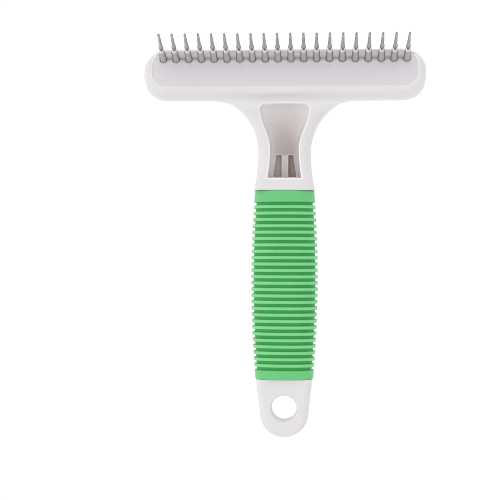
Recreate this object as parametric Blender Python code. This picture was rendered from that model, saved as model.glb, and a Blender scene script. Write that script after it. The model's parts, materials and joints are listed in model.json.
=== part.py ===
"""Deshedding rake: T-shaped head with one row of turning steel pins, ribbed soft grip, hang hole.

Frame: the tool lies on its back. +X runs across the head, +Y runs up the handle to the
head, and +Z is the side the pins stand on. The origin lies under the middle of the tool.
Lengths are millimetres in this script and become metres as each mesh is made.
"""
import math

import bmesh
import bpy
from mathutils import Vector

MM = 0.001
GAP = 0.3                      # room left between two pieces

# Head, in its own frame: x across, y up the pin plate, z along the pins, origin at the pin row.
ROW_Y = 70.52                  # where the pin row meets the plate
ROW_Z = 15.5
HEAD_LEAN = -24.3              # degrees about X that turn the head's frame from the tool's
HEAD_HALF_LENGTH = 55.0
HEAD_TOP = 5.5                 # edge beyond the pin row
HEAD_BOTTOM = -14.8            # edge on the handle's side
HEAD_CORNER = 9.3
HEAD_RIM = 0.25                # how far the rim stands above the pin plate
HEAD_BACK = -8.75
FRONT_FILLET = 2.3
BACK_FILLET = 2.0

# Pin plate, set into the head.
PLATE_SIDE_RIM = 3.4
PLATE_TOP = 3.6
PLATE_BOTTOM = -12.0
PLATE_CORNER = 5.9
PLATE_THICKNESS = 3.0

# Pins, turned steel, held by a flange behind the plate.
PIN_COUNT = 20
PIN_PITCH = 5.0
PIN_LENGTH = 17.7              # from the plate's face to the tip
PIN_BASE_RADIUS = 1.3
PIN_BASE_LENGTH = 6.2
PIN_NECK_RADIUS = 0.5
PIN_NECK_LOW = 6.9             # waist between the base and the bead
PIN_NECK_HIGH = 7.7
PIN_BEAD_RADIUS = 0.9
PIN_BEAD_LOW = 8.2
PIN_BEAD_HIGH = 9.4
PIN_NEEDLE_RADIUS = 0.68
PIN_NEEDLE_LOW = 9.9
PIN_TIP_RADIUS = 0.45
PIN_TIP_ROUND = 0.4
PIN_HOLE_RADIUS = 1.7
FLANGE_RADIUS = 2.0
FLANGE_THICKNESS = 1.2
CHANNEL_HALF_WIDTH = 2.6       # slot behind the plate that the flanges turn in

# Handle moulding, along Y.
HANDLE_Z = 8.5                 # height of the handle's axis
WAIST_Y = 34.5                 # narrowest place of the neck
WAIST_HALF_WIDTH = 10.35
FLARE_RADIUS = 22.8            # neck opening out into the head
LOWER_NECK_RADIUS = 70.0       # neck opening out towards the grip
NECK_HALF_THICKNESS = 6.0
NECK_FOOT_HALF_THICKNESS = 6.8
NECK_EDGE = 3.6
GUSSET_Y = 55.0                # from here up the neck is a gusset behind the head
GUSSET_TOP_Y = 68.0
GUSSET_TOP_HALF_WIDTH = 21.0
GUSSET_BACK_RISE = 4.5         # how far its back climbs on the way up
GUSSET_FRONT_DROP = 5.2
TAIL_TOP_HALF_WIDTH = 11.2
TAIL_END_RADIUS = 9.45
TAIL_END_Y = -77.6
TAIL_HALF_THICKNESS = 4.6
TAIL_TOP_HALF_THICKNESS = 5.0
TAIL_SLAB_Y = -56.8            # from here down the tail is a flat slab
TAIL_EDGE = 3.0
HOLE_Y = -65.6
HOLE_RADIUS = 5.1

# Soft grip sleeve.
GRIP_TOP = 19.4
GRIP_BOTTOM = -54.7
TOP_COLLAR = 4.6
BOTTOM_COLLAR = 3.6
RIB_COUNT = 26
RIB_HEIGHT = 1.0
RIB_SHARE = 0.53               # part of the pitch that is rib, the rest is groove
BELLY_Y = -16.5
BELLY_HALF_WIDTH = 13.15
BELLY_HALF_THICKNESS = 8.5
BELLY_TAPER = 0.00117          # loss of half width per square millimetre from the belly
BELLY_TAPER_Z = 0.0013
COLLAR_DROP = 0.1              # collars lie this much under the rib tops
SLEEVE_WALL = 1.6              # at the bottom of a groove
OVAL = 2.5                     # superellipse power of the grip's section

# Recess in the front of the neck.
RECESS_TOP = 52.8
RECESS_BOTTOM = 24.3
RECESS_OUTLINE = ((24.3, 6.45), (30.0, 5.95), (36.0, 5.6), (41.1, 6.3), (47.0, 8.8), (50.9, 10.0), (52.4, 9.5))
RECESS_DEPTH_TOP = 1.2
RECESS_DEPTH_BOTTOM = 5.4
SLOT_TOP = 33.8
SLOT_BOTTOM = 25.1
SLOT_INNER = 1.35
SLOT_OUTER_TOP = 3.3
SLOT_OUTER_BOTTOM = 4.6
SLOT_FLOOR_Z = 4.2

CORNER_STEPS = 4
RING_POINTS = 4 * (CORNER_STEPS + 1)
PIN_SIDES = 12
HOLE_SIDES = 16


def clear_scene():
    for old in list(bpy.data.objects):
        bpy.data.objects.remove(old, do_unlink=True)


def material(name, colour, roughness, metallic=0.0):
    """A Principled material of one colour."""
    made = bpy.data.materials.new(name)
    made.use_nodes = True
    shader = made.node_tree.nodes["Principled BSDF"]
    shader.inputs["Base Color"].default_value = (*colour, 1.0)
    shader.inputs["Roughness"].default_value = roughness
    shader.inputs["Metallic"].default_value = metallic
    return made


def loft(name, rings, finish=None, tube=False):
    """An object skinned over rings of equal point count; a tube joins its last ring to its first."""
    shape = bmesh.new()
    loops = [[shape.verts.new(Vector(point) * MM) for point in ring] for ring in rings]
    pairs = list(zip(loops, loops[1:]))
    if tube:
        pairs.append((loops[-1], loops[0]))
    for lower, upper in pairs:
        for here in range(len(lower)):
            there = (here + 1) % len(lower)
            shape.faces.new((lower[here], lower[there], upper[there], upper[here]))
    if not tube:
        shape.faces.new(reversed(loops[0]))
        shape.faces.new(loops[-1])
    bmesh.ops.recalc_face_normals(shape, faces=shape.faces)
    mesh = bpy.data.meshes.new(name)
    shape.to_mesh(mesh)
    shape.free()
    mesh.shade_smooth()
    mesh.set_sharp_from_angle(angle=math.radians(32))
    if finish:
        mesh.materials.append(finish)
    made = bpy.data.objects.new(name, mesh)
    bpy.context.scene.collection.objects.link(made)
    return made


def tool_part(made, parent=None):
    """Marks an object as a guide that only shapes other pieces."""
    made.hide_render = True
    made.display_type = "WIRE"
    if parent:
        made.parent = parent
    return made


def combine(target, other, operation):
    step = target.modifiers.new(other.name, "BOOLEAN")
    step.operation = operation
    step.solver = "EXACT"
    step.object = other


def slab_outline(half_length, top, bottom, corner, inset=0.0):
    """Rounded rectangle in the head's frame, drawn in by inset, as (x, y) pairs."""
    reach = half_length - inset
    high = top - inset
    low = bottom + inset
    radius = corner - inset
    corners = ((reach, high, 0), (-reach, high, 90), (-reach, low, 180), (reach, low, 270))
    points = []
    for x, y, start in corners:
        centre_x = x - math.copysign(radius, x)
        centre_y = high - radius if y == high else low + radius
        for step in range(9):
            angle = math.radians(start + 90 * step / 8)
            points.append((centre_x + radius * math.cos(angle), centre_y + radius * math.sin(angle)))
    return points


def rounded_section(y, half_width, z_low, z_high, edge):
    """Rounded rectangle across the handle at y."""
    radius = min(edge, half_width * 0.98, (z_high - z_low) * 0.49)
    centres = ((1, 1, 0), (-1, 1, 90), (-1, -1, 180), (1, -1, 270))
    middle = (z_low + z_high) / 2
    half_height = (z_high - z_low) / 2
    ring = []
    for side, up, start in centres:
        for step in range(CORNER_STEPS + 1):
            angle = math.radians(start + 90 * step / CORNER_STEPS)
            x = side * (half_width - radius) + radius * math.cos(angle)
            z = middle + up * (half_height - radius) + radius * math.sin(angle)
            ring.append((x, y, z))
    return ring


def oval_section(y, half_width, half_height):
    """Superellipse across the grip at y."""
    ring = []
    for step in range(RING_POINTS):
        angle = 2 * math.pi * (step + 0.5) / RING_POINTS
        across = math.cos(angle)
        up = math.sin(angle)
        x = half_width * math.copysign(abs(across) ** (2 / OVAL), across)
        z = HANDLE_Z + half_height * math.copysign(abs(up) ** (2 / OVAL), up)
        ring.append((x, y, z))
    return ring


def rib_half_width(y):
    return BELLY_HALF_WIDTH - BELLY_TAPER * (y - BELLY_Y) ** 2


def rib_half_thickness(y):
    return BELLY_HALF_THICKNESS - BELLY_TAPER_Z * (y - BELLY_Y) ** 2


def grip_section(y, under_rib):
    """Section of the grip at y, lying under_rib below the rib tops."""
    return oval_section(y, rib_half_width(y) - under_rib, rib_half_thickness(y) - under_rib)


def neck_half_width(y):
    """Half width of the neck at y: an arc to the head above the waist, a wide arc below it."""
    radius = FLARE_RADIUS if y > WAIST_Y else LOWER_NECK_RADIUS
    rise = min(abs(y - WAIST_Y), radius * 0.955)
    return WAIST_HALF_WIDTH + radius - math.sqrt(radius ** 2 - rise ** 2)


def neck_section(y):
    """Neck section at y, thinning a little from the grip up to the waist."""
    share = max(0.0, min(1.0, (WAIST_Y - y) / (WAIST_Y - GRIP_TOP)))
    half = NECK_HALF_THICKNESS + (NECK_FOOT_HALF_THICKNESS - NECK_HALF_THICKNESS) * share ** 1.5
    return rounded_section(y, neck_half_width(y), HANDLE_Z - half, HANDLE_Z + half, NECK_EDGE)


def gusset_section(share):
    """Neck section behind the head; share runs from 0 at the flare to 1 at the gusset's top."""
    y = GUSSET_Y + (GUSSET_TOP_Y - GUSSET_Y) * share
    wide = neck_half_width(GUSSET_Y)
    half_width = wide + (GUSSET_TOP_HALF_WIDTH - wide) * share ** 2
    low = HANDLE_Z - NECK_HALF_THICKNESS + GUSSET_BACK_RISE * share
    high = HANDLE_Z + NECK_HALF_THICKNESS - GUSSET_FRONT_DROP * share ** 1.5
    return rounded_section(y, half_width, low, high, NECK_EDGE)


def tail_sections():
    """Tail sections from the sleeve's lower shoulder to the rounded end."""
    centre_y = TAIL_END_Y + TAIL_END_RADIUS
    first = GRIP_BOTTOM - GAP
    rings = []
    for step in range(4):
        y = first + (TAIL_SLAB_Y - first) * step / 3
        share = (1 - step / 3) ** 2
        half = TAIL_HALF_THICKNESS + (TAIL_TOP_HALF_THICKNESS - TAIL_HALF_THICKNESS) * share
        rings.append(tail_section(y, tail_side(y, centre_y), half))
    for y in (HOLE_Y + 3.0, HOLE_Y - 1.0):
        rings.append(tail_section(y, tail_side(y, centre_y), TAIL_HALF_THICKNESS))
    for step in range(8):
        angle = math.radians(85 * step / 7)
        y = centre_y - TAIL_END_RADIUS * math.sin(angle)
        rings.append(tail_section(y, TAIL_END_RADIUS * math.cos(angle), TAIL_HALF_THICKNESS))
    return rings


def tail_side(y, centre_y):
    """Half width of the tail's straight, tapering sides at y."""
    share = (y - centre_y) / (GRIP_BOTTOM - centre_y)
    return TAIL_END_RADIUS + (TAIL_TOP_HALF_WIDTH - TAIL_END_RADIUS) * share


def tail_section(y, half_width, half_height):
    return rounded_section(y, half_width, HANDLE_Z - half_height, HANDLE_Z + half_height, TAIL_EDGE)


def head_block(frame):
    """Solid block of the head, with its front and back edges rounded."""
    rings = []
    for step in range(4):
        angle = math.radians(90 * step / 3)
        inset = BACK_FILLET * (1 - math.sin(angle))
        level = HEAD_BACK + BACK_FILLET * (1 - math.cos(angle))
        rings.append([(x, y, level) for x, y in head_outline(inset)])
    for step in range(4):
        angle = math.radians(90 * step / 3)
        inset = FRONT_FILLET * (1 - math.cos(angle))
        level = HEAD_RIM - FRONT_FILLET * (1 - math.sin(angle))
        rings.append([(x, y, level) for x, y in head_outline(inset)])
    return tool_part(loft("head_block", rings), frame)


def head_outline(inset):
    return slab_outline(HEAD_HALF_LENGTH, HEAD_TOP, HEAD_BOTTOM, HEAD_CORNER, inset)


def plate_outline(inset):
    reach = HEAD_HALF_LENGTH - PLATE_SIDE_RIM
    return slab_outline(reach, PLATE_TOP, PLATE_BOTTOM, PLATE_CORNER, inset)


def plate_pocket(frame):
    """Pocket in the head that the pin plate drops into, and the slot for the pins' flanges."""
    floor = -PLATE_THICKNESS - GAP
    pocket = loft("plate_pocket", [[(x, y, level) for x, y in plate_outline(-GAP)] for level in (floor, 4.0)])
    reach = PIN_PITCH * (PIN_COUNT - 1) / 2 + CHANNEL_HALF_WIDTH
    bottom = floor - FLANGE_THICKNESS - GAP
    side = CHANNEL_HALF_WIDTH
    outline = ((reach, side), (-reach, side), (-reach, -side), (reach, -side))
    channel = loft("flange_channel", [[(x, y, level) for x, y in outline] for level in (bottom, floor + 1.0)])
    return tool_part(pocket, frame), tool_part(channel, frame)


def neck_recess():
    """Cutter for the scooped recess in the neck; its floor slopes down towards the grip."""
    right = [(half_width, y) for y, half_width in RECESS_OUTLINE] + [(7.9, RECESS_TOP)]
    outline = right + [(-x, y) for x, y in reversed(right)]
    front = HANDLE_Z + NECK_HALF_THICKNESS
    length = RECESS_TOP - RECESS_BOTTOM
    floor = []
    for x, y in outline:
        depth = RECESS_DEPTH_BOTTOM + (RECESS_DEPTH_TOP - RECESS_DEPTH_BOTTOM) * (y - RECESS_BOTTOM) / length
        floor.append((x, y, front - depth))
    return tool_part(loft("neck_recess", [floor, [(x, y, front + 6.0) for x, y in outline]]))


def neck_slot(side):
    """Cutter for one of the two deep slots at the recess's lower end; side is 1 or -1."""
    outline = (
        (side * SLOT_INNER, SLOT_BOTTOM),
        (side * SLOT_OUTER_BOTTOM, SLOT_BOTTOM),
        (side * SLOT_OUTER_TOP, SLOT_TOP),
        (side * SLOT_INNER, SLOT_TOP),
    )
    rings = [[(x, y, z) for x, y in outline] for z in (SLOT_FLOOR_Z, HANDLE_Z + NECK_HALF_THICKNESS)]
    return tool_part(loft("slot_cutter", rings))


def round_cutter(name, x, y, radius, low, high, parent=None):
    rings = []
    for level in (low, high):
        ring = []
        for step in range(HOLE_SIDES):
            angle = 2 * math.pi * (step + 0.5) / HOLE_SIDES
            ring.append((x + radius * math.cos(angle), y + radius * math.sin(angle), level))
        rings.append(ring)
    return tool_part(loft(name, rings), parent)


def handle_body(frame, finish):
    """One white moulding: head, neck, core under the grip, and tail with its hang hole."""
    rings = [gusset_section(step / 4) for step in range(4, -1, -1)]
    for y in (53.5, 51.5, 49.0, 46.0, 42.5, 38.5, WAIST_Y, 30.0, 25.0, GRIP_TOP + GAP):
        rings.append(neck_section(y))
    core_drop = RIB_HEIGHT + SLEEVE_WALL + GAP
    core_top = GRIP_TOP + GAP
    core_bottom = GRIP_BOTTOM - GAP
    for step in range(7):
        y = core_top + (core_bottom - core_top) * step / 6
        rings.append(grip_section(y, core_drop))
    rings.extend(tail_sections())
    body = loft("handle_body", rings, finish)
    combine(body, head_block(frame), "UNION")
    for cutter in plate_pocket(frame):
        combine(body, cutter, "DIFFERENCE")
    combine(body, neck_recess(), "DIFFERENCE")
    for side in (1, -1):
        combine(body, neck_slot(side), "DIFFERENCE")
    combine(body, round_cutter("hang_hole", 0.0, HOLE_Y, HOLE_RADIUS, -5.0, 25.0), "DIFFERENCE")
    return body


def grip_sleeve(finish):
    """Soft sleeve: a tube with a plain collar at each end and square-cut ribs between."""
    ribs_top = GRIP_TOP - TOP_COLLAR
    pitch = (ribs_top - (GRIP_BOTTOM + BOTTOM_COLLAR)) / (RIB_COUNT + 1 - RIB_SHARE)
    groove = pitch * (1 - RIB_SHARE)
    outer = [grip_section(GRIP_TOP, COLLAR_DROP), grip_section(ribs_top, COLLAR_DROP)]
    outer.append(grip_section(ribs_top, RIB_HEIGHT))
    edge = ribs_top
    for rib in range(RIB_COUNT):
        edge -= groove
        rib_end = edge - pitch * RIB_SHARE
        outer.append(grip_section(edge, RIB_HEIGHT))
        outer.append(grip_section(edge, 0.0))
        outer.append(grip_section(rib_end, 0.0))
        outer.append(grip_section(rib_end, RIB_HEIGHT))
        edge = rib_end
    edge -= groove
    outer.append(grip_section(edge, RIB_HEIGHT))
    outer.append(grip_section(edge, COLLAR_DROP))
    outer.append(grip_section(GRIP_BOTTOM, COLLAR_DROP))
    bore = []
    for step in range(7):
        y = GRIP_BOTTOM + (GRIP_TOP - GRIP_BOTTOM) * step / 6
        bore.append(grip_section(y, RIB_HEIGHT + SLEEVE_WALL))
    return loft("grip_sleeve", outer + bore, finish, tube=True)


def pin_plate(frame, finish):
    """Flat plate with a clearance hole for every pin."""
    levels = ((-PLATE_THICKNESS, 0.0), (-0.3, 0.0), (0.0, 0.3))
    rings = [[(x, y, level) for x, y in plate_outline(inset)] for level, inset in levels]
    plate = loft("pin_plate", rings, finish)
    plate.parent = frame
    for number in range(PIN_COUNT):
        x = pin_x(number)
        hole = round_cutter(f"hole_{number + 1:02d}", x, 0.0, PIN_HOLE_RADIUS, -6.0, 3.0, frame)
        combine(plate, hole, "DIFFERENCE")
    return plate


def pin_x(number):
    return (number - (PIN_COUNT - 1) / 2) * PIN_PITCH


def pin_rings():
    """Turned profile of a pin, from its flange to its rounded tip."""
    flange_top = -PLATE_THICKNESS - GAP
    profile = (
        (FLANGE_RADIUS, flange_top - FLANGE_THICKNESS),
        (FLANGE_RADIUS, flange_top),
        (PIN_BASE_RADIUS, flange_top),
        (PIN_BASE_RADIUS, PIN_BASE_LENGTH),
        (PIN_NECK_RADIUS, PIN_NECK_LOW),
        (PIN_NECK_RADIUS, PIN_NECK_HIGH),
        (PIN_BEAD_RADIUS, PIN_BEAD_LOW),
        (PIN_BEAD_RADIUS, PIN_BEAD_HIGH),
        (PIN_NEEDLE_RADIUS, PIN_NEEDLE_LOW),
        (PIN_TIP_RADIUS, PIN_LENGTH - PIN_TIP_ROUND),
        (PIN_TIP_RADIUS * 0.5, PIN_LENGTH),
    )
    rings = []
    for radius, level in profile:
        ring = []
        for step in range(PIN_SIDES):
            angle = 2 * math.pi * step / PIN_SIDES
            ring.append((radius * math.cos(angle), radius * math.sin(angle), level))
        rings.append(ring)
    return rings


def pins(frame, finish):
    """A row of equal pins, each with its origin on its own axis."""
    first = loft("pin_01", pin_rings(), finish)
    row = [first]
    for number in range(1, PIN_COUNT):
        copy = bpy.data.objects.new(f"pin_{number + 1:02d}", first.data)
        bpy.context.scene.collection.objects.link(copy)
        row.append(copy)
    for number, pin in enumerate(row):
        pin.parent = frame
        pin.location = (pin_x(number) * MM, 0.0, 0.0)


def head_frame():
    """Empty at the pin row, leaning with the head."""
    frame = bpy.data.objects.new("head_frame", None)
    frame.location = (0.0, ROW_Y * MM, ROW_Z * MM)
    frame.rotation_euler = (math.radians(HEAD_LEAN), 0.0, 0.0)
    bpy.context.scene.collection.objects.link(frame)
    return frame


def build():
    clear_scene()
    white_plastic = material("white_plastic", (0.82, 0.80, 0.81), 0.42)
    plate_plastic = material("plate_plastic", (0.76, 0.73, 0.76), 0.48)
    green_rubber = material("green_rubber", (0.10, 0.58, 0.17), 0.6)
    turned_steel = material("turned_steel", (0.55, 0.55, 0.56), 0.3, 1.0)
    frame = head_frame()
    handle_body(frame, white_plastic)
    grip_sleeve(green_rubber)
    pin_plate(frame, plate_plastic)
    pins(frame, turned_steel)


build()
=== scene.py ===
import json
import math

import bmesh
import bpy
import numpy as np
from mathutils import Matrix, Vector


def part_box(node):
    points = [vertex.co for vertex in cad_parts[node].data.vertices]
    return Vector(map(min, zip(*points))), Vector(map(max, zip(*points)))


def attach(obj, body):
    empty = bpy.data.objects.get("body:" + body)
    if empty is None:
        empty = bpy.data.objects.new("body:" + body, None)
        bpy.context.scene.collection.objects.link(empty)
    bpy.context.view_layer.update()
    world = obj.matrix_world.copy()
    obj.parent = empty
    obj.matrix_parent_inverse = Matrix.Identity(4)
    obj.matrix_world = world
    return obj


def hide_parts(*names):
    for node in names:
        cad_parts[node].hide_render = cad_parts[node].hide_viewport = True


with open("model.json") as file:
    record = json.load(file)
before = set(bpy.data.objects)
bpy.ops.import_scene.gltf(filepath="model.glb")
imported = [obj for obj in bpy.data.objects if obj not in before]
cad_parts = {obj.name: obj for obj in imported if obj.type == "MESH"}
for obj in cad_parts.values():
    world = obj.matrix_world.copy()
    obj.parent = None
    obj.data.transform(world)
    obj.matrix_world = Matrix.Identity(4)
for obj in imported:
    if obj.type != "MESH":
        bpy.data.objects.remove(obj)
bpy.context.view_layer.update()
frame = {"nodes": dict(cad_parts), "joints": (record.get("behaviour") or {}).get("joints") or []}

MM = 0.001

# ---------------------------------------------------------------- what the frame gives

joints = [joint for joint in frame["joints"] if joint["name"].endswith("_spin")]
PIN_AXIS = np.array(joints[0]["axis"])
ROW = np.array([0.0, joints[0]["pos_m"][1], joints[0]["pos_m"][2]]) / MM
PIN_X = [joint["pos_m"][0] / MM for joint in joints]
HALF_PITCH = (PIN_X[1] - PIN_X[0]) / 2
UP_PLATE = np.array([0.0, PIN_AXIS[2], -PIN_AXIS[1]])


def box_mm(node):
    low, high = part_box(node)
    return np.array(low) / MM, np.array(high) / MM


def to_head(x, y, z):
    """Tool coordinates to the head's own: across, up the plate, along the pins."""
    rise = y - ROW[1]
    height = z - ROW[2]
    return x, rise * UP_PLATE[1] + height * UP_PLATE[2], rise * PIN_AXIS[1] + height * PIN_AXIS[2]


def head_box(node):
    """Lowest and highest corner of a CAD node in the head's coordinates."""
    points = np.array([vertex.co for vertex in frame["nodes"][node].data.vertices]) / MM
    across, up, along = to_head(points[:, 0], points[:, 1], points[:, 2])
    return np.array([across.min(), up.min(), along.min()]), np.array([across.max(), up.max(), along.max()])


plate_low, plate_high = head_box("pin_plate")
pin_low, pin_high = head_box("pin_01")
body_low, body_high = box_mm("handle_body")
grip_low, grip_high = box_mm("grip_sleeve")

# ---------------------------------------------------------------- sizes of the looks

HANDLE_Z = (grip_low[2] + grip_high[2]) / 2

HEAD_SIDE = body_high[0]
HEAD_TOP = plate_high[1] + 1.9
HEAD_BOTTOM = plate_low[1] - 2.6
HEAD_FACE = 0.25
HEAD_BACK = -8.75
HEAD_CORNER = 9.3
HEAD_FRONT_FILLET = 2.3
HEAD_BACK_FILLET = 2.2
PLATE_CORNER = 5.9
PLATE_SEAM = 0.03
PLATE_TUCK = 0.3
PLATE_BACK_ROUND = 0.15
PLATE_FACE_ROUND = 0.05
POCKET_ROUND = 0.12
PIN_HOLE = 1.36
PIN_HOLE_ROUND = 0.12
ROW_BAND = 2.1
FLANGE_SLOT = 2.6
FLANGE_SLOT_CORNER = 0.5
FLANGE_ROOM = 0.3

WAIST_Y = 34.5
WAIST = 10.35
FLARE_RADIUS = 22.8
LOWER_NECK_RADIUS = 70.0
NECK_HALF_THICKNESS = 6.0
NECK_FOOT_HALF_THICKNESS = 6.8
NECK_EDGE = 3.4
HEAD_BLEND = 4.4
GUSSET_Y = 55.0
GUSSET_TOP_Y = 68.0
GUSSET_TOP = 21.0
GUSSET_LEAD = 2.0
GUSSET_BACK_RISE = 4.5
GUSSET_FRONT_DROP = 7.0
GUSSET_EDGE = 4.0

TAIL_END_Y = -77.75
TAIL_END_RADIUS = 9.6
TAIL_TOP = 11.2
TAIL_HALF_THICKNESS = 4.6
TAIL_TOP_HALF_THICKNESS = 5.0
TAIL_SLAB_Y = -56.8
TAIL_EDGE = 3.0
HOLE_Y = -66.1
HOLE_RADIUS = 5.0
HOLE_EDGE = 0.8

RECESS_TOP = 53.0
RECESS_BOTTOM = 24.3
RECESS_TOP_CORNER = 2.2
RECESS_BOTTOM_CORNER = 0.35
RECESS_RIM = 0.45
RECESS_ARCH = 0.35
RECESS_ARCH_SPAN = 9.5
RECESS_WAIST = 5.6
RECESS_WAIST_Y = 36.0
RECESS_FOOT_SPREAD = 0.0075
RECESS_SPREAD = 4.85
RECESS_SPREAD_Y = 35.5
RECESS_SPREAD_LENGTH = 11.0
RECESS_SHALLOW = 0.9
RECESS_EDGE = 3.6
RECESS_DEEP = 8.2
RECESS_FALL = 21.0
RECESS_FLOOR_ROUND = 0.9
SLOT_TOP = 33.8
SLOT_BOTTOM = 25.0
SLOT_INNER = 1.35
SLOT_OUTER_TOP = 3.3
SLOT_OUTER_BOTTOM = 4.6
SLOT_FLOOR = HANDLE_Z - 4.3
SLOT_CORNER = 0.3
SLOT_RIM = 0.25
EJECTOR_X = 5.15
EJECTOR_Y = 47.5
EJECTOR_RADIUS = 1.4
EJECTOR_STEP = 0.2

GRIP_TOP = grip_high[1]
GRIP_BOTTOM = grip_low[1]
RIB_COUNT = 26
TOP_COLLAR = 4.6
BOTTOM_COLLAR = 3.6
RIB_HEIGHT = 1.0
RIB_SHARE = 0.53
RIB_ROUND = 0.4
COLLAR_DROP = 0.0
BELLY_Y = -15.8
BELLY_HALF_WIDTH = 13.2
BELLY_HALF_THICKNESS = 8.5
BELLY_TAPER = 0.00117
BELLY_TAPER_Z = 0.0013
OVAL = 2.5
SLEEVE_WALL = 1.6
RIBS_TOP = GRIP_TOP - TOP_COLLAR
RIBS_BOTTOM = GRIP_BOTTOM + BOTTOM_COLLAR
SEAM = 0.08

FLANGE_RADIUS = 2.0
FLANGE_THICKNESS = 1.2
FLANGE_EDGE = 0.15
BASE_SIDE = ((1.31, -0.3), (1.31, 0.0), (1.31, 0.4), (1.30, 1.1), (1.29, 2.4), (1.28, 4.0), (1.27, 5.8))
BASE_RADIUS, BASE_TOP = BASE_SIDE[0][0], BASE_SIDE[-1][1]
SHOULDER_INNER = 0.47
SHOULDER_ROUND = 0.8
SHOULDER_HEIGHT = 1.1
WAIST_SIDE = ((0.44, 7.15), (0.42, 7.35), (0.43, 7.6), (0.50, 7.85))
BEAD_SIDE = ((0.76, 8.0), (0.88, 8.15), (0.92, 8.4), (0.92, 9.1), (0.88, 9.35), (0.78, 9.5))
NEEDLE_RADIUS = 0.68
NEEDLE_FOOT = 9.7
NEEDLE_TAPER = 0.2
NEEDLE_END = 1.25
NOTCH_SIDE = ((0.42, 0.1), (0.26, 0.16), (0.25, 0.4), (0.34, 0.48))
BALL_RADIUS = 0.46
BALL_HEIGHT = 0.6

# Painted highlights and painted shade stored on the meshes: how far they reach, and how strongly they show
# where 1 is full.
RIM_WIDTH = 0.28
SLOT_RIM_HIGHLIGHT = 0.6
SEAM_HIGHLIGHT = 0.8
SEAM_HIGHLIGHT_LOSS = 0.5
JUNCTION_HIGHLIGHT = 0.28
JUNCTION_Y = 54.0
JUNCTION_WIDTH = 3.0
SHADE_AT_FRONT = 0.38
SHADE_PER_MM = 0.08
SHADE_SHIFT = 0.9
SLOT_RIB_SHADE = 0.3
LEFT_SLOT_SHADE = 0.2
HEAD_RIM_SHADE = 0.6
LOW_IN_SLOT = HANDLE_Z - 1.6

TENT_LEVEL = 0.885
TENT_LEAN = (-0.20, 0.13, 0.13)
TENT_SIDES = 0.26
STEEL_SPAN = 20.0
# Painted light and shade on the steel by height above the plate: a painted glint on the shoulder, painted
# dark at the waist and tip.
STEEL_GLINT_AND_SHADE_BANDS = tuple(
    (height / STEEL_SPAN, (level, level, level))
    for height, level in (
        (6.5, 1.0),
        (6.83, 1.12),
        (6.92, 1.12),
        (6.98, 0.25),
        (7.9, 0.3),
        (8.1, 0.6),
        (9.2, 0.62),
        (9.8, 0.8),
        (16.0, 0.8),
        (17.2, 0.5),
    )
)

KEY_PLACE = (0.10, -0.50, 0.85)
KEY_SIZE = 0.35
KEY_POWER = 0.7

FLOOR_HALF_SIDE = 3.0
FLOOR_DROP = 0.0005

CAMERA_PLACE = (0.01297, -0.00606, 0.49303)
CAMERA_AIM = (-0.0134, -0.00398, 0.014)
CAMERA_UP = (-0.0024, 1.0, 0.00435)
CAMERA_LENS = 88.15
CAMERA_SENSOR = 36.0

# Painted shade tints for the pin row, the scoop and the slots, and the colour of the painted rim
# highlights.
ROW_SHADE_TINT = (0.66, 0.65, 0.655)
SCOOP_SHADE_TINT = (0.70, 0.61, 0.60)
SLOT_SHADE_TINT = (0.98, 0.91, 0.86)
RIM_HIGHLIGHT_COLOUR = (0.92, 0.92, 0.93)
# The collars are painted a darker green than the ribs, a painted highlight on the ribs; the groove tints
# are painted shade.
COLLAR_GREEN = (0.114, 0.512, 0.170)
RIB_GREENS = ((0.3, (0.160, 0.585, 0.218)), (0.7, (0.172, 0.61, 0.232)))
GROOVE_SHADE_TINTS = ((0.35, (0.03, 0.42, 0.11)), (0.72, (0.16, 0.68, 0.32)), (0.95, (1.0, 1.0, 1.0)))
STEEL_GREYS = ((0.3, (0.60, 0.59, 0.595)), (0.7, (0.64, 0.63, 0.635)))
# Painted shade where the steel turns away from the eye.
STEEL_EDGE_SHADE_TINTS = ((0.62, (1.0, 1.0, 1.0)), (0.8, (0.16, 0.155, 0.16)))

# ---------------------------------------------------------------- distance fields


def distance_to_box(across, along, half_across, half_along, corner):
    """Signed distance in a plane to a rectangle with round corners."""
    a = np.abs(across) - half_across + corner
    b = np.abs(along) - half_along + corner
    outside = np.hypot(np.maximum(a, 0), np.maximum(b, 0))
    return outside + np.minimum(np.maximum(a, b), 0) - corner


def meet(a, b, radius):
    """Where both solids are, with their shared edge rounded."""
    round_off = np.hypot(np.maximum(a + radius, 0), np.maximum(b + radius, 0))
    return np.minimum(np.maximum(a, b), -radius) + round_off


def join(a, b, radius):
    """Both solids together, with a fillet along the line where they meet."""
    return -meet(-a, -b, radius)


def smooth_step(value):
    share = np.clip(value, 0.0, 1.0)
    return share * share * (3 - 2 * share)


def slab(plan, height, low, high, low_edge, high_edge):
    """A plan outline made into a plate from low to high, with its two rims rounded."""
    middle = (low + high) / 2
    edge = np.where(height > middle, high_edge, low_edge)
    return meet(plan, np.abs(height - middle) - (high - low) / 2, edge)


def head_plan(across, up):
    middle = (HEAD_TOP + HEAD_BOTTOM) / 2
    return distance_to_box(across, up - middle, HEAD_SIDE, (HEAD_TOP - HEAD_BOTTOM) / 2, HEAD_CORNER)


def plate_plan(across, up, grow):
    middle = (plate_high[1] + plate_low[1]) / 2
    half = (plate_high[1] - plate_low[1]) / 2
    return distance_to_box(across, up - middle, plate_high[0] + grow, half + grow, PLATE_CORNER + grow)


def neck_half_width(y):
    """Half width of the neck at y, and its slope."""
    radius = np.where(y > WAIST_Y, FLARE_RADIUS, LOWER_NECK_RADIUS)
    rise = np.clip(y - WAIST_Y, -0.955 * radius, GUSSET_Y - WAIST_Y)
    root = np.sqrt(radius ** 2 - rise ** 2)
    slope = np.where(y > GUSSET_Y, 0.0, rise / root)
    wide = WAIST + radius - root
    share = np.clip((y - GUSSET_Y) / (GUSSET_TOP_Y - GUSSET_Y), 0.0, 1.0)
    return wide + (GUSSET_TOP - wide) * share ** 2, slope


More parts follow.
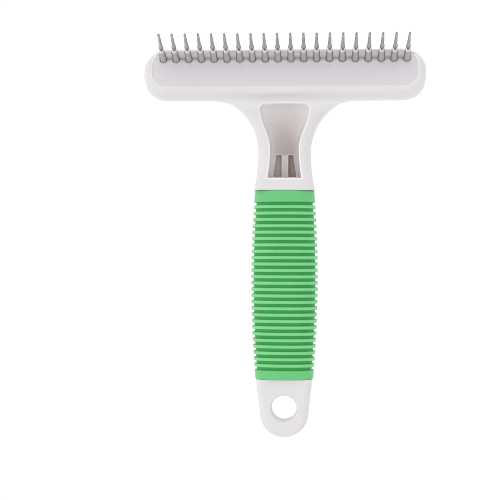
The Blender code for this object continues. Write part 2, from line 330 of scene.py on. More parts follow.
def neck_solid(x, y, z):
    """Neck from the grip's shoulder to the back of the head."""
    half_width, slope = neck_half_width(y)
    plan = (np.abs(x) - half_width) / np.sqrt(1 + slope ** 2)
    foot = np.clip((WAIST_Y - y) / (WAIST_Y - GRIP_TOP), 0.0, 1.0)
    half = NECK_HALF_THICKNESS + (NECK_FOOT_HALF_THICKNESS - NECK_HALF_THICKNESS) * foot ** 1.5
    run = GUSSET_TOP_Y - GUSSET_Y + GUSSET_LEAD
    climb = np.clip((y - GUSSET_Y + GUSSET_LEAD) / run, 0.0, 1.0)
    low = HANDLE_Z - half + GUSSET_BACK_RISE * climb ** 1.3
    high = HANDLE_Z + half - GUSSET_FRONT_DROP * climb ** 1.5
    solid = meet(plan, np.maximum(low - z, z - high), NECK_EDGE)
    solid = np.maximum(solid, GRIP_TOP + SEAM - y)
    return meet(solid, y - GUSSET_TOP_Y, GUSSET_EDGE)


def head_solid(x, y, z):
    across, up, along = to_head(x, y, z)
    return slab(head_plan(across, up), along, HEAD_BACK, HEAD_FACE, HEAD_BACK_FILLET, HEAD_FRONT_FILLET)


def head_pocket(x, y, z):
    """Room for the pin plate, and the slot behind it that the pins' flanges turn in."""
    across, up, along = to_head(x, y, z)
    pocket = np.maximum(plate_plan(across, up, PLATE_SEAM), plate_low[2] - 0.1 - along)
    channel_plan = distance_to_box(across, up, PIN_X[-1] + FLANGE_SLOT, FLANGE_SLOT, FLANGE_SLOT_CORNER)
    channel = np.maximum(channel_plan, pin_low[2] - FLANGE_ROOM - along)
    return np.minimum(pocket, channel)


def recess_half_width(y):
    """Half width of the recess in the neck: narrowest at its waist, wider above and below."""
    waist = RECESS_WAIST + RECESS_FOOT_SPREAD * np.minimum(y - RECESS_WAIST_Y, 0.0) ** 2
    rise = np.maximum(y - RECESS_SPREAD_Y, 0.0)
    return waist + RECESS_SPREAD * (1 - np.exp(-((rise / RECESS_SPREAD_LENGTH) ** 2.1)))


def recess_plan(x, y):
    """Signed distance in plan to the recess's outline."""
    step = 0.25
    half_width = recess_half_width(y)
    slope = (recess_half_width(y + step) - recess_half_width(y - step)) / (2 * step)
    sides = (np.abs(x) - half_width) / np.sqrt(1 + slope ** 2)
    arch = RECESS_ARCH * (1 - (x / RECESS_ARCH_SPAN) ** 2)
    plan = meet(sides, y - RECESS_TOP - arch, RECESS_TOP_CORNER)
    return meet(plan, RECESS_BOTTOM - y, RECESS_BOTTOM_CORNER)


def slot_plan(x, y):
    """Signed distance in plan to the nearer of the two slots."""
    share = np.clip((SLOT_TOP - y) / (SLOT_TOP - SLOT_BOTTOM), 0.0, 1.0)
    outer = SLOT_OUTER_TOP + (SLOT_OUTER_BOTTOM - SLOT_OUTER_TOP) * share
    away = np.abs(x)
    slot_sides = np.maximum(away - outer, SLOT_INNER - away)
    return meet(slot_sides, np.maximum(y - SLOT_TOP, SLOT_BOTTOM - y), SLOT_CORNER)


def recess_solid(x, y, z):
    """The scoop in the neck, with the two deep slots at its lower end."""
    plan = recess_plan(x, y)
    half_width = recess_half_width(y)
    fall = smooth_step((RECESS_TOP + 1.0 - y) / RECESS_FALL)
    across = np.clip(np.abs(x) / np.maximum(half_width, 1.0), 0, 1)
    dish = (1 - across ** 2) ** 0.9
    mark = np.hypot(np.abs(x) - EJECTOR_X, y - EJECTOR_Y)
    ejector = EJECTOR_STEP * smooth_step((EJECTOR_RADIUS + 0.15 - mark) / 0.3)
    edge_depth = RECESS_SHALLOW + (RECESS_EDGE - RECESS_SHALLOW) * fall
    depth = edge_depth + (RECESS_DEEP - RECESS_EDGE) * fall * dish + ejector
    front = HANDLE_Z + NECK_HALF_THICKNESS
    scoop = meet(plan, front - depth - z, RECESS_FLOOR_ROUND)
    slot = np.maximum(slot_plan(x, y), SLOT_FLOOR - z)
    return join(scoop, slot, SLOT_RIM)


def rim_highlight(x, y, z):
    """How much painted highlight the moulding gets: along its rims, and where the neck meets the head."""
    front = HANDLE_Z + NECK_HALF_THICKNESS
    on_front = (z > front - 0.7) & (y < RECESS_TOP + 3.0)
    recess = np.where(on_front, np.exp(-((recess_plan(x, y) - 0.15) / RIM_WIDTH) ** 2), 0.0)
    in_scoop = (z > SLOT_FLOOR + 1.2) & (z < front - 1.0)
    slot = np.where(in_scoop, np.exp(-((slot_plan(x, y) - 0.05) / RIM_WIDTH) ** 2), 0.0)
    across, up, along = to_head(x, y, z)
    seam = np.exp(-((plate_plan(across, up, PLATE_SEAM) - 0.2) / RIM_WIDTH) ** 2)
    level = smooth_step((plate_high[0] - 1.0 - np.abs(across)) / 6.0)
    seam = np.where(along > -0.4, seam * (SEAM_HIGHLIGHT - SEAM_HIGHLIGHT_LOSS * level), 0.0)
    near_front = smooth_step(1.4 - np.abs(z - front) / 2.0)
    junction = JUNCTION_HIGHLIGHT * near_front * np.exp(-((y - JUNCTION_Y) / JUNCTION_WIDTH) ** 2)
    junction = np.where(recess_plan(x, y) > 0.2, junction, 0.0)
    return np.maximum.reduce((recess, SLOT_RIM_HIGHLIGHT * slot, seam, junction))


def row_shade(across, up):
    """How far the row of pins shades the plate: most along the row itself, half as much above it."""
    above = smooth_step((up + 0.5) / 1.2)
    along_row = np.exp(-((up - 0.35) / 0.95) ** 2)
    ends = smooth_step((PIN_X[-1] + HALF_PITCH - np.abs(across)) / 2.0)
    return ends * (0.5 * above + 0.5 * along_row)


def scoop_shade(x, y, z):
    """How much painted shade the moulding gets: most in the middle of the scoop, less on the head's far
    rim.
    """
    half_width = recess_half_width(y)
    across = np.clip(np.abs(x) / half_width, 0.0, 1.0)
    down = smooth_step((RECESS_TOP - 4.0 - y) / 12.0)
    shifted = np.clip(np.abs(x - SHADE_SHIFT * down) / half_width, 0.0, 1.0)
    depth = HANDLE_Z + NECK_HALF_THICKNESS - z
    shade = np.clip(SHADE_AT_FRONT + SHADE_PER_MM * depth, 0.0, 1.0) * (1 - 0.8 * shifted ** 2.5)
    rib = (np.abs(x) < SLOT_INNER + 0.1) & (y < SLOT_TOP)
    left_slot = (slot_plan(x, y) < 0.1) & (x < 0) & (z < LOW_IN_SLOT)
    shade = np.where(rib, SLOT_RIB_SHADE, np.where(left_slot, LEFT_SLOT_SHADE, shade))
    within = (across < 1.0) & (y > RECESS_BOTTOM) & (y < RECESS_TOP + 0.5) & (z > SLOT_FLOOR - 0.3)
    head_across, up, along = to_head(x, y, z)
    on_rim = (up > plate_high[1]) & (up < HEAD_TOP - 0.5) & (along > -1.5)
    rim_shade = np.where(on_rim, HEAD_RIM_SHADE * row_shade(head_across, up), 0.0)
    return np.where(within, shade, rim_shade)


def slot_shade(x, y, z):
    """1 on the floors and lower walls of the two slots, 0 elsewhere."""
    low = smooth_step((LOW_IN_SLOT - z) / 1.2)
    return np.where((slot_plan(x, y) < 0.12) & (z > SLOT_FLOOR - 0.3), low, 0.0)


def core_solid(x, y, z):
    """The handle's core under the grip."""
    away = np.clip(y, GRIP_BOTTOM, GRIP_TOP) - BELLY_Y
    drop = RIB_HEIGHT + SLEEVE_WALL + SEAM
    half_width = BELLY_HALF_WIDTH - BELLY_TAPER * away ** 2 - drop
    half_height = BELLY_HALF_THICKNESS - BELLY_TAPER_Z * away ** 2 - drop
    ratio = (np.abs(x) / half_width) ** OVAL + (np.abs(z - HANDLE_Z) / half_height) ** OVAL
    section = (np.maximum(ratio, 1e-9) ** (1 / OVAL) - 1) * half_height
    return np.maximum(section, np.maximum(y - GRIP_TOP - 1.0, GRIP_BOTTOM - 1.0 - y))


def tail_solid(x, y, z):
    """Tail: tapering sides that end in a half circle, flat front and back, and a hang hole."""
    centre = TAIL_END_Y + TAIL_END_RADIUS
    run = GRIP_BOTTOM - centre
    slope = (TAIL_TOP - TAIL_END_RADIUS) / run
    sides = (np.abs(x) - TAIL_END_RADIUS - slope * (y - centre)) / math.sqrt(1 + slope ** 2)
    end = np.hypot(x, y - centre) - TAIL_END_RADIUS
    plan = np.where(y > centre + slope * np.abs(x), sides, end)
    swell = np.clip((y - TAIL_SLAB_Y) / (GRIP_BOTTOM - TAIL_SLAB_Y), 0.0, 1.0) ** 2
    half = TAIL_HALF_THICKNESS + (TAIL_TOP_HALF_THICKNESS - TAIL_HALF_THICKNESS) * swell
    solid = meet(plan, np.abs(z - HANDLE_Z) - half, TAIL_EDGE)
    solid = np.maximum(solid, y - GRIP_BOTTOM + SEAM)
    hole = HOLE_RADIUS - np.hypot(x, y - HOLE_Y)
    return meet(solid, hole, HOLE_EDGE)


def body_field(x, y, z):
    """The whole white moulding."""
    solid = join(neck_solid(x, y, z), head_solid(x, y, z), HEAD_BLEND)
    solid = meet(solid, -head_pocket(x, y, z), POCKET_ROUND)
    solid = meet(solid, -recess_solid(x, y, z), RECESS_RIM)
    solid = np.minimum(solid, core_solid(x, y, z))
    return np.minimum(solid, tail_solid(x, y, z))


# ---------------------------------------------------------------- skinning a field


def skin(field, xs, ys, zs, settle=3):
    """Vertices and quads of the surface where the field is zero, on a grid of uneven steps."""
    values = field(xs[:, None, None], ys[None, :, None], zs[None, None, :])
    inside = values < 0
    counts = [length - 1 for length in values.shape]
    offsets = [(i, j, k) for i in (0, 1) for j in (0, 1) for k in (0, 1)]

    def corner(offset):
        return inside[tuple(slice(o, o + n) for o, n in zip(offset, counts))]

    filled = sum(corner(offset).astype(np.int8) for offset in offsets)
    active = (filled > 0) & (filled < 8)
    cells = np.argwhere(active)
    number = np.full(active.shape, -1, np.int64)
    number[active] = np.arange(len(cells))
    axes = (xs, ys, zs)
    total = np.zeros((len(cells), 3))
    crossings = np.zeros(len(cells))
    for start in offsets:
        for axis in range(3):
            if start[axis]:
                continue
            near = cells + start
            far = near.copy()
            far[:, axis] += 1
            value_near = values[tuple(near.T)]
            value_far = values[tuple(far.T)]
            cross = (value_near < 0) != (value_far < 0)
            share = value_near[cross] / (value_near[cross] - value_far[cross])
            for side in range(3):
                total[cross, side] += axes[side][near[cross, side]]
            steps = axes[axis][far[cross, axis]] - axes[axis][near[cross, axis]]
            total[cross, axis] += share * steps
            crossings[cross] += 1
    points = total / crossings[:, None]
    quads = []
    for axis in range(3):
        first, second = (axis + 1) % 3, (axis + 2) % 3
        low = [slice(1, n) for n in counts]
        high = [slice(1, n) for n in counts]
        low[axis] = slice(0, counts[axis])
        high[axis] = slice(1, counts[axis] + 1)
        here = inside[tuple(low)]
        there = inside[tuple(high)]
        change = np.argwhere(here != there)
        leaving = here[tuple(change.T)]
        base = change + 1
        base[:, axis] -= 1
        ring = []
        for shift_first, shift_second in ((-1, -1), (0, -1), (0, 0), (-1, 0)):
            cell = base.copy()
            cell[:, first] += shift_first
            cell[:, second] += shift_second
            ring.append(number[tuple(cell.T)])
        ring = np.stack(ring, axis=1)
        ring[~leaving] = ring[~leaving][:, ::-1]
        quads.append(ring)
    quads = np.concatenate(quads)
    for _ in range(settle):
        points = relax(points, quads, 0.35)
        points = snap(field, points)
    return snap(field, snap(field, points)), quads


def relax(points, quads, share):
    """Moves each vertex part of the way to the middle of the faces round it."""
    middles = points[quads].mean(axis=1)
    total = np.zeros_like(points)
    count = np.bincount(quads.ravel(), minlength=len(points))
    for corner in range(4):
        for side in range(3):
            total[:, side] += np.bincount(quads[:, corner], middles[:, side], len(points))
    return points + share * (total / count[:, None] - points)


def snap(field, points, reach=0.01, limit=0.12):
    """Moves each vertex onto the surface along the field's gradient."""
    x, y, z = points.T
    value = field(x, y, z)
    gradient = np.stack(
        (
            field(x + reach, y, z) - field(x - reach, y, z),
            field(x, y + reach, z) - field(x, y - reach, z),
            field(x, y, z + reach) - field(x, y, z - reach),
        ),
        axis=1,
    ) / (2 * reach)
    size = np.maximum((gradient ** 2).sum(axis=1), 0.05)
    move = -gradient * (value / size)[:, None]
    length = np.linalg.norm(move, axis=1)
    move *= np.minimum(1.0, limit / np.maximum(length, 1e-9))[:, None]
    return points + move


def spread(stops):
    """Grid positions along one axis; stops are (from, to, step) stretches laid end to end."""
    places = [np.linspace(a, b, max(2, round((b - a) / step) + 1))[:-1] for a, b, step in stops]
    return np.append(np.concatenate(places), stops[-1][1])


def mesh_object(name, points, faces, finish, smooth_angle=None):
    mesh = bpy.data.meshes.new(name)
    points = np.asarray(points, float) * MM
    faces = np.asarray(faces)
    mesh.vertices.add(len(points))
    mesh.vertices.foreach_set("co", points.ravel())
    mesh.loops.add(faces.size)
    mesh.loops.foreach_set("vertex_index", faces.ravel().astype(np.int32))
    mesh.polygons.add(len(faces))
    mesh.polygons.foreach_set("loop_start", np.arange(0, faces.size, faces.shape[1], dtype=np.int32))
    mesh.update(calc_edges=True)
    mesh.validate()
    mesh.shade_smooth()
    if smooth_angle:
        mesh.set_sharp_from_angle(angle=math.radians(smooth_angle))
    mesh.materials.append(finish)
    made = bpy.data.objects.new(name, mesh)
    bpy.context.scene.collection.objects.link(made)
    return made


def store(made, name, values):
    """Keeps one value for each of the mesh's points, for its material to read."""
    layer = made.data.attributes.new(name, "FLOAT", "POINT")
    layer.data.foreach_set("value", np.asarray(values, np.float32))


# ---------------------------------------------------------------- materials


def new_material(name):
    made = bpy.data.materials.new(name)
    made.use_nodes = True
    return made, made.node_tree.nodes, made.node_tree.links, made.node_tree.nodes["Principled BSDF"]


def noise(nodes, links, scale, detail, roughness=0.5):
    place = nodes.new("ShaderNodeTexCoord")
    made = nodes.new("ShaderNodeTexNoise")
    made.inputs["Scale"].default_value = scale
    made.inputs["Detail"].default_value = detail
    made.inputs["Roughness"].default_value = roughness
    links.new(place.outputs["Object"], made.inputs["Vector"])
    return made


def ramp(nodes, links, source, stops):
    made = nodes.new("ShaderNodeValToRGB")
    elements = made.color_ramp.elements
    while len(elements) < len(stops):
        elements.new(0.5)
    for element, (place, colour) in zip(elements, stops):
        element.position = place
        element.color = (*colour, 1.0)
    links.new(source, made.inputs["Fac"])
    return made


def grey_range(nodes, links, source, low, high):
    made = nodes.new("ShaderNodeMapRange")
    made.inputs["To Min"].default_value = low
    made.inputs["To Max"].default_value = high
    links.new(source, made.inputs["Value"])
    return made


def bump(nodes, links, source, strength, distance):
    made = nodes.new("ShaderNodeBump")
    made.inputs["Strength"].default_value = strength
    made.inputs["Distance"].default_value = distance
    links.new(source, made.inputs["Height"])
    return made


def blend(nodes, links, kind, factor, first, second):
    """Mixes two colours; each of factor and second is a socket or a plain value."""
    mix = nodes.new("ShaderNodeMix")
    mix.data_type = "RGBA"
    mix.blend_type = kind
    for name, value in (("Factor", factor), ("A", first), ("B", second)):
        if isinstance(value, bpy.types.NodeSocket):
            links.new(value, mix.inputs[name])
        elif name == "Factor":
            mix.inputs[name].default_value = value
        else:
            mix.inputs[name].default_value = (*value, 1.0)
    return mix.outputs["Result"]


def paint_crevice_shade(nodes, links, source, reach, stops, alone=True, amount=1.0):
    """Paints shade into a colour where the surface is hemmed in by other surfaces."""
    hemmed = nodes.new("ShaderNodeAmbientOcclusion")
    hemmed.inputs["Distance"].default_value = reach
    hemmed.samples = 8
    hemmed.only_local = alone
    tint = ramp(nodes, links, hemmed.outputs["AO"], stops)
    return blend(nodes, links, "MULTIPLY", amount, source, tint.outputs["Color"])


def stored(nodes, name):
    """A value stored on the mesh's points."""
    made = nodes.new("ShaderNodeAttribute")
    made.attribute_name = name
    return made.outputs["Fac"]


def paint_rim_highlights(nodes, links, source, colour):
    """Paints a highlight into a colour by the rim value stored on the mesh."""
    return blend(nodes, links, "MIX", stored(nodes, "rim"), source, colour)


def paint_stored_shade(nodes, links, source, name, colour):
    """Paints shade into a colour by the value stored on the mesh under that name."""
    return blend(nodes, links, "MULTIPLY", stored(nodes, name), source, colour)


def plastic(name, colour, shade, roughness, hollow_shade_stops, reach, near_pins):
    """Moulded satin plastic: faint colour drift, spark-eroded grain and a little light under the skin,
    with painted shade in hollows, slots and along the pin row, and painted highlights along the rims.
    """
    made, nodes, links, shader = new_material(name)
    drift = noise(nodes, links, 60.0, 3.0)
    tint = ramp(nodes, links, drift.outputs["Fac"], ((0.3, shade), (0.7, colour)))
    # Painted shade in hollows, and on the plate along and above the row of pins.
    amount = stored(nodes, "row") if near_pins else 1.0
    hollow = paint_crevice_shade(nodes, links, tint.outputs["Color"], reach, hollow_shade_stops, not near_pins, amount)
    if near_pins:
        hollow = paint_stored_shade(nodes, links, hollow, "row", ROW_SHADE_TINT)
    # Painted shade in the scoop, then warmer painted shade in the slots.
    deeper = paint_stored_shade(nodes, links, hollow, "hollow", SCOOP_SHADE_TINT)
    deeper = paint_stored_shade(nodes, links, deeper, "slot", SLOT_SHADE_TINT)
    # Painted highlights along the rims and where the neck meets the head.
    highlighted = paint_rim_highlights(nodes, links, deeper, RIM_HIGHLIGHT_COLOUR)
    links.new(highlighted, shader.inputs["Base Color"])
    wear = noise(nodes, links, 240.0, 4.0, 0.6)
    gloss = grey_range(nodes, links, wear.outputs["Fac"], roughness - 0.06, roughness + 0.06)
    links.new(gloss.outputs["Result"], shader.inputs["Roughness"])
    grain = noise(nodes, links, 3500.0, 2.0, 0.6)
    skin_bump = bump(nodes, links, grain.outputs["Fac"], 0.12, 0.00006)
    links.new(skin_bump.outputs["Normal"], shader.inputs["Normal"])
    shader.inputs["IOR"].default_value = 1.5
    shader.inputs["Subsurface Weight"].default_value = 0.25
    shader.inputs["Subsurface Radius"].default_value = (1.0, 0.85, 0.75)
    shader.inputs["Subsurface Scale"].default_value = 0.0006
    return made


def soft_rubber(name):
    """Matte thermoplastic rubber with a fine pebbled skin: ribs painted paler than the collars as a
    painted highlight, and painted shade deep in the grooves.
    """
    made, nodes, links, shader = new_material(name)
    drift = noise(nodes, links, 90.0, 4.0)
    ribs = ramp(nodes, links, drift.outputs["Fac"], RIB_GREENS)
    place = nodes.new("ShaderNodeTexCoord")
    parts = nodes.new("ShaderNodeSeparateXYZ")
    links.new(place.outputs["Object"], parts.inputs["Vector"])
    away = nodes.new("ShaderNodeMath")
    away.operation = "SUBTRACT"
    away.inputs[1].default_value = (RIBS_TOP + RIBS_BOTTOM) / 2 * MM
    links.new(parts.outputs["Y"], away.inputs[0])
    size = nodes.new("ShaderNodeMath")
    size.operation = "ABSOLUTE"
    links.new(away.outputs["Value"], size.inputs[0])
    band = nodes.new("ShaderNodeMath")
    band.operation = "GREATER_THAN"
    band.inputs[1].default_value = (RIBS_TOP - RIBS_BOTTOM) / 2 * MM
    links.new(size.outputs["Value"], band.inputs[0])
    # The collars take a darker green than the ribs: a painted highlight on the ribs.
    tint = blend(nodes, links, "MIX", band.outputs["Value"], ribs.outputs["Color"], COLLAR_GREEN)
    # Painted shade in the grooves.
    groove = paint_crevice_shade(nodes, links, tint, 0.0016, GROOVE_SHADE_TINTS)
    links.new(groove, shader.inputs["Base Color"])
    wear = noise(nodes, links, 500.0, 3.0, 0.6)
    gloss = grey_range(nodes, links, wear.outputs["Fac"], 0.5, 0.64)
    links.new(gloss.outputs["Result"], shader.inputs["Roughness"])
    grain = noise(nodes, links, 2600.0, 3.0, 0.65)
    skin_bump = bump(nodes, links, grain.outputs["Fac"], 0.22, 0.00008)
    links.new(skin_bump.outputs["Normal"], shader.inputs["Normal"])
    shader.inputs["Sheen Weight"].default_value = 0.3
    shader.inputs["Sheen Roughness"].default_value = 0.5
    return made


def turned_steel(name):
    """Steel with fine rings left by the lathe, painted darker where it turns away from the eye, with a
    painted glint at the shoulder and painted dark at the waist and tip.
    """
    made, nodes, links, shader = new_material(name)
    place = nodes.new("ShaderNodeTexCoord")
    stretch = nodes.new("ShaderNodeMapping")
    stretch.inputs["Scale"].default_value = (0.15, 0.15, 9.0)
    links.new(place.outputs["Object"], stretch.inputs["Vector"])
    rings = nodes.new("ShaderNodeTexNoise")
    rings.inputs["Scale"].default_value = 900.0
    rings.inputs["Detail"].default_value = 3.0
    links.new(stretch.outputs["Vector"], rings.inputs["Vector"])
    tint = ramp(nodes, links, rings.outputs["Fac"], STEEL_GREYS)
    turned = nodes.new("ShaderNodeLayerWeight")
    turned.inputs["Blend"].default_value = 0.5
    # Painted shade where the steel turns away from the eye.
    edge_shade = ramp(nodes, links, turned.outputs["Facing"], STEEL_EDGE_SHADE_TINTS)
    colour = blend(nodes, links, "MULTIPLY", 1.0, tint.outputs["Color"], edge_shade.outputs["Color"])
    parts = nodes.new("ShaderNodeSeparateXYZ")
    links.new(place.outputs["Object"], parts.inputs["Vector"])
    lengthwise = grey_range(nodes, links, parts.outputs["Z"], 0.0, 1.0)
    lengthwise.inputs["From Max"].default_value = STEEL_SPAN * MM
    # Painted glint at the shoulder, painted dark at the waist and the tip.
    band = ramp(nodes, links, lengthwise.outputs["Result"], STEEL_GLINT_AND_SHADE_BANDS)
    colour = blend(nodes, links, "MULTIPLY", 1.0, colour, band.outputs["Color"])
    links.new(colour, shader.inputs["Base Color"])
    gloss = grey_range(nodes, links, rings.outputs["Fac"], 0.24, 0.32)
    links.new(gloss.outputs["Result"], shader.inputs["Roughness"])
    marks = bump(nodes, links, rings.outputs["Fac"], 0.05, 0.00002)
    links.new(marks.outputs["Normal"], shader.inputs["Normal"])
    shader.inputs["Metallic"].default_value = 1.0
    return made


# ---------------------------------------------------------------- pieces


def make_body(finish):
    fine = 0.25
    coarse = 0.4
    side = HEAD_SIDE + 1.0
    across = spread(((-side, -12.0, coarse), (-12.0, 12.0, fine), (12.0, side, coarse)))
    along = spread(
        (
            (TAIL_END_Y - 1.0, GRIP_BOTTOM + 1.0, coarse),
            (GRIP_BOTTOM + 1.0, GRIP_TOP - 1.0, 2.0),
            (GRIP_TOP - 1.0, WAIST_Y + 20.5, fine),
            (WAIST_Y + 20.5, body_high[1] + 1.0, coarse * 0.85),
        )
    )
    up = spread(((body_low[2] - 1.0, body_high[2] + 1.0, coarse * 0.85),))
    points, quads = skin(body_field, across, along, up)
    made = mesh_object("white_moulding", points, quads, finish)
    # Painted shade in the scoop and the slots, and painted highlights along the rims, kept for the
    # material.
    for name, measure in (("hollow", scoop_shade), ("slot", slot_shade), ("rim", rim_highlight)):
        store(made, name, measure(*points.T))
    return made


def make_plate(finish):
    """The pin plate, made in the head's coordinates and then turned into the tool's."""
    def field(across, up, along):
        plan = plate_plan(across, up, PLATE_TUCK)
        solid = slab(plan, along, plate_low[2], plate_high[2], PLATE_BACK_ROUND, PLATE_FACE_ROUND)
        nearest = np.abs((across - PIN_X[0] + HALF_PITCH) % (2 * HALF_PITCH) - HALF_PITCH)
        bore = PIN_HOLE - np.hypot(nearest, up)
        in_row = np.abs(across) < PIN_X[-1] + HALF_PITCH
        return np.where(in_row, meet(solid, bore, PIN_HOLE_ROUND), solid)

    step = 0.3
    across = spread(((plate_low[0] - 0.6, plate_high[0] + 0.6, step),))
    below_row = (plate_low[1] - 0.6, -ROW_BAND, step * 1.3)
    above_row = (ROW_BAND, plate_high[1] + 0.6, step)
    up = spread((below_row, (-ROW_BAND, ROW_BAND, step * 0.7), above_row))
    along = spread(((plate_low[2] - 0.4, plate_high[2] + 0.4, step),))
    points, quads = skin(field, across, up, along, settle=2)
    turned = ROW + np.outer(points[:, 0], (1, 0, 0)) + np.outer(points[:, 1], UP_PLATE)
    turned += np.outer(points[:, 2], PIN_AXIS)
    made = mesh_object("plate_with_holes", turned, quads, finish, 50)
    # Painted shade along and above the row of pins, kept for the material.
    store(made, "row", row_shade(points[:, 0], points[:, 1]))
    return made


def oval(half_width, half_height, count):
    angles = 2 * math.pi * np.arange(count) / count
    across = np.cos(angles)
    up = np.sin(angles)
    x = half_width * np.sign(across) * np.abs(across) ** (2 / OVAL)
    z = HANDLE_Z + half_height * np.sign(up) * np.abs(up) ** (2 / OVAL)
    return x, z


def step_profile(levels, corner, turns=4):
    """Square-cut outline (y, drop) with every corner rounded; levels are its corners in order."""
    path = []
    for number, point in enumerate(levels):
        point = np.array(point, float)
        if number in (0, len(levels) - 1):
            path.append(tuple(point))
            continue
        before = np.array(levels[number - 1], float) - point
        after = np.array(levels[number + 1], float) - point
        length_before = np.linalg.norm(before)
        length_after = np.linalg.norm(after)
        cut = min(corner, length_before * 0.45, length_after * 0.45)
        start = point + before / length_before * cut
        end = point + after / length_after * cut
        for turn in range(turns + 1):
            share = turn / turns
            bend = (1 - share) ** 2 * start + 2 * share * (1 - share) * point + share ** 2 * end
            path.append(tuple(bend))
    return path


def grip_outline():
    """Corners of the sleeve's outer outline, from the top collar down, as (y, drop under the rib tops)."""
    pitch = (RIBS_TOP - RIBS_BOTTOM) / (RIB_COUNT + 1 - RIB_SHARE)
    groove = pitch * (1 - RIB_SHARE)
    bore = RIB_HEIGHT + SLEEVE_WALL
    corners = [(GRIP_TOP, bore), (GRIP_TOP, COLLAR_DROP), (RIBS_TOP, COLLAR_DROP), (RIBS_TOP, RIB_HEIGHT)]
    edge = RIBS_TOP
    for _ in range(RIB_COUNT):
        edge -= groove
        corners += [(edge, RIB_HEIGHT), (edge, 0.0)]
        edge -= pitch * RIB_SHARE
        corners += [(edge, 0.0), (edge, RIB_HEIGHT)]
    edge -= groove
    corners += [(edge, RIB_HEIGHT), (edge, COLLAR_DROP), (GRIP_BOTTOM, COLLAR_DROP), (GRIP_BOTTOM, bore)]
    return corners


def make_grip(finish):
    around = 128
    outer = step_profile(grip_outline(), RIB_ROUND)
    bore = RIB_HEIGHT + SLEEVE_WALL
    inner = [(y, bore) for y in np.linspace(GRIP_BOTTOM, GRIP_TOP, 20)[1:-1]]
    rings = []
    for y, drop in outer + inner:
        away = y - BELLY_Y
        half_width = BELLY_HALF_WIDTH - BELLY_TAPER * away ** 2 - drop
        half_height = BELLY_HALF_THICKNESS - BELLY_TAPER_Z * away ** 2 - drop
        x, z = oval(half_width, half_height, around)
        rings.append(np.stack((x, np.full(around, y), z), axis=1))
    points = np.concatenate(rings)
    count = len(rings)
    ring = np.arange(count)[:, None] * around
    next_ring = ((np.arange(count) + 1) % count)[:, None] * around
    here = np.arange(around)[None, :]
    there = (here + 1) % around
    quads = np.stack((ring + here, ring + there, next_ring + there, next_ring + here), axis=-1)
    return mesh_object("ribbed_grip", points, quads.reshape(-1, 4), finish, 50)


def pin_profile():
    """Turned outline of a pin as (radius, height above the plate), from the flange's foot to the tip."""
    foot = pin_low[2]
    tip = pin_high[2]
    flange = foot + FLANGE_THICKNESS
    inner = FLANGE_RADIUS - FLANGE_EDGE
    points = [(0.0, foot), (inner, foot), (FLANGE_RADIUS, foot + FLANGE_EDGE)]
    points += [(FLANGE_RADIUS, flange - FLANGE_EDGE), (inner, flange), (BASE_RADIUS, flange)]
    points += BASE_SIDE
    for turn in range(1, 7):
        angle = math.pi / 2 * turn / 6
        radius = SHOULDER_INNER + SHOULDER_ROUND * math.cos(angle)
        points.append((radius, BASE_TOP + SHOULDER_HEIGHT * math.sin(angle)))
    points += WAIST_SIDE + BEAD_SIDE
    points.append((NEEDLE_RADIUS, NEEDLE_FOOT))
    needle_end = tip - NEEDLE_END
    for turn in range(1, 6):
        share = turn / 5
        radius = NEEDLE_RADIUS - NEEDLE_TAPER * share
        points.append((radius, NEEDLE_FOOT + (needle_end - NEEDLE_FOOT) * share))
    points += [(radius, needle_end + rise) for radius, rise in NOTCH_SIDE]
    for turn in range(7):
        angle = math.pi / 2 * turn / 6
        points.append((BALL_RADIUS * math.cos(angle), tip - BALL_HEIGHT + BALL_HEIGHT * math.sin(angle)))
    return points


def pin_mesh(finish):
    """One lathe-turned pin about its own +Z, shared by the whole row."""
    around = 48
    outline = pin_profile()
    shape = bmesh.new()
    rings = []
    for radius, height in outline:
        if radius < 1e-6:
            rings.append([shape.verts.new((0.0, 0.0, height * MM))])
            continue
        ring = []
        for turn in range(around):
            angle = 2 * math.pi * turn / around
            across = radius * math.cos(angle) * MM
            ring.append(shape.verts.new((across, radius * math.sin(angle) * MM, height * MM)))
        rings.append(ring)
    for lower, upper in zip(rings, rings[1:]):
        for turn in range(around):
            after = (turn + 1) % around
            if len(lower) == 1:
                shape.faces.new((lower[0], upper[after], upper[turn]))
            elif len(upper) == 1:
                shape.faces.new((lower[turn], lower[after], upper[0]))
            else:
                shape.faces.new((lower[turn], lower[after], upper[after], upper[turn]))
    bmesh.ops.recalc_face_normals(shape, faces=shape.faces)
    mesh = bpy.data.meshes.new("turned_pin")
    shape.to_mesh(mesh)
    shape.free()
    mesh.shade_smooth()
    mesh.set_sharp_from_angle(angle=math.radians(40))
    mesh.materials.append(finish)
    return mesh


def make_pins(finish):
    mesh = pin_mesh(finish)
    lean = math.atan2(-PIN_AXIS[1], PIN_AXIS[2])
    for joint in joints:
        node = joint["name"].replace("_spin", "")
        pin = bpy.data.objects.new("turned_" + node, mesh)
        bpy.context.scene.collection.objects.link(pin)
        pin.location = joint["pos_m"]
        pin.rotation_euler = (lean, 0.0, 0.0)
        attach(pin, joint["child"])
        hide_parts(node)


# ---------------------------------------------------------------- studio


def make_floor():
    side = FLOOR_HALF_SIDE
    mesh = bpy.data.meshes.new("floor")
    corners = [(-side, -side, 0), (side, -side, 0), (side, side, 0), (-side, side, 0)]
    mesh.from_pydata(corners, [], [(0, 1, 2, 3)])
    made, nodes, links, shader = new_material("pale_floor")
    shader.inputs["Base Color"].default_value = (0.03, 0.03, 0.03, 1.0)
    shader.inputs["Roughness"].default_value = 0.9
    shader.inputs["Emission Color"].default_value = (1.0, 1.0, 1.0, 1.0)
    shader.inputs["Emission Strength"].default_value = 1.0
    mesh.materials.append(made)
    floor = bpy.data.objects.new("floor", mesh)
    floor.location = (0.0, 0.0, -FLOOR_DROP)
    bpy.context.scene.collection.objects.link(floor)


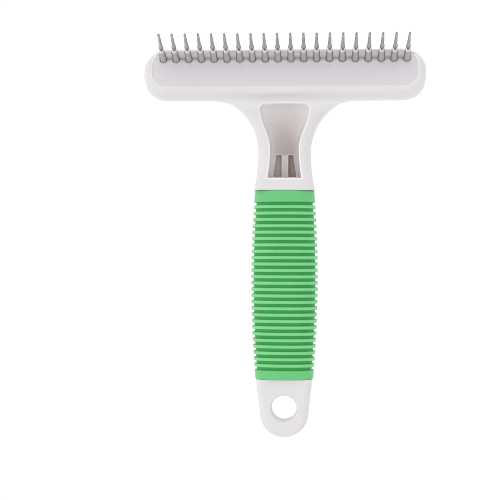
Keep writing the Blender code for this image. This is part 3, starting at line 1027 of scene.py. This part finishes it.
def make_tent():
    """White light from all round, brighter overhead and at both sides, most of all on the left."""
    world = bpy.data.worlds.new("tent")
    bpy.context.scene.world = world
    world.use_nodes = True
    nodes = world.node_tree.nodes
    links = world.node_tree.links
    place = nodes.new("ShaderNodeTexCoord")
    lean = nodes.new("ShaderNodeVectorMath")
    lean.operation = "DOT_PRODUCT"
    lean.inputs[1].default_value = TENT_LEAN
    links.new(place.outputs["Generated"], lean.inputs[0])
    parts = nodes.new("ShaderNodeSeparateXYZ")
    links.new(place.outputs["Generated"], parts.inputs["Vector"])
    aside = nodes.new("ShaderNodeMath")
    aside.operation = "ABSOLUTE"
    links.new(parts.outputs["X"], aside.inputs[0])
    walls = nodes.new("ShaderNodeMath")
    walls.operation = "MULTIPLY_ADD"
    walls.inputs[1].default_value = TENT_SIDES
    walls.inputs[2].default_value = TENT_LEVEL
    links.new(aside.outputs["Value"], walls.inputs[0])
    level = nodes.new("ShaderNodeMath")
    level.operation = "ADD"
    links.new(lean.outputs["Value"], level.inputs[0])
    links.new(walls.outputs["Value"], level.inputs[1])
    links.new(level.outputs["Value"], nodes["Background"].inputs["Strength"])
    nodes["Background"].inputs["Color"].default_value = (1.0, 0.995, 1.0, 1.0)


def make_key():
    """Soft box high up beyond the handle's end, a little to the right of it."""
    data = bpy.data.lights.new("key", "AREA")
    data.shape = "SQUARE"
    data.size = KEY_SIZE
    data.energy = KEY_POWER
    key = bpy.data.objects.new("key", data)
    key.location = KEY_PLACE
    key.rotation_euler = (-Vector(KEY_PLACE)).to_track_quat("-Z", "Y").to_euler()
    bpy.context.scene.collection.objects.link(key)


def make_studio():
    make_floor()
    make_tent()
    make_key()
    scene = bpy.context.scene
    scene.view_settings.view_transform = "Standard"
    scene.view_settings.look = "None"
    scene.view_settings.exposure = 0.0
    scene.cycles.filter_width = 1.0


def make_camera():
    data = bpy.data.cameras.new("camera")
    data.lens = CAMERA_LENS
    data.sensor_width = CAMERA_SENSOR
    data.clip_start = 0.01
    camera = bpy.data.objects.new("camera", data)
    camera.location = CAMERA_PLACE
    forward = (Vector(CAMERA_AIM) - camera.location).normalized()
    right = forward.cross(Vector(CAMERA_UP)).normalized()
    turn = Matrix((right, right.cross(forward), -forward)).transposed()
    camera.rotation_euler = turn.to_euler()
    bpy.context.scene.collection.objects.link(camera)
    bpy.context.scene.camera = camera


def build():
    # Painted shade stops: in the moulding's hollows, and on the plate next to the pins.
    hollow = ((0.15, (0.74, 0.68, 0.65)), (0.33, (0.91, 0.88, 0.875)), (0.5, (1.0, 1.0, 1.0)))
    pin_gap_shade = ((0.25, (0.66, 0.65, 0.655)), (0.75, (0.60, 0.60, 0.60)), (0.9, (1.0, 1.0, 1.0)))
    white = plastic("white_abs", (0.70, 0.682, 0.684), (0.68, 0.662, 0.664), 0.38, hollow, 0.008, False)
    lilac = plastic("plate_abs", (0.665, 0.636, 0.664), (0.65, 0.62, 0.65), 0.45, pin_gap_shade, 0.0025, True)
    rubber = soft_rubber("green_tpr")
    steel = turned_steel("turned_steel")
    for made, node, slot in (
        (make_body(white), "handle_body", "white_plastic"),
        (make_plate(lilac), "pin_plate", "plate_plastic"),
        (make_grip(rubber), "grip_sleeve", "green_rubber"),
    ):
        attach(made, "tool")
        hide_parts(node)
    make_pins(steel)
    make_studio()
    make_camera()


build()
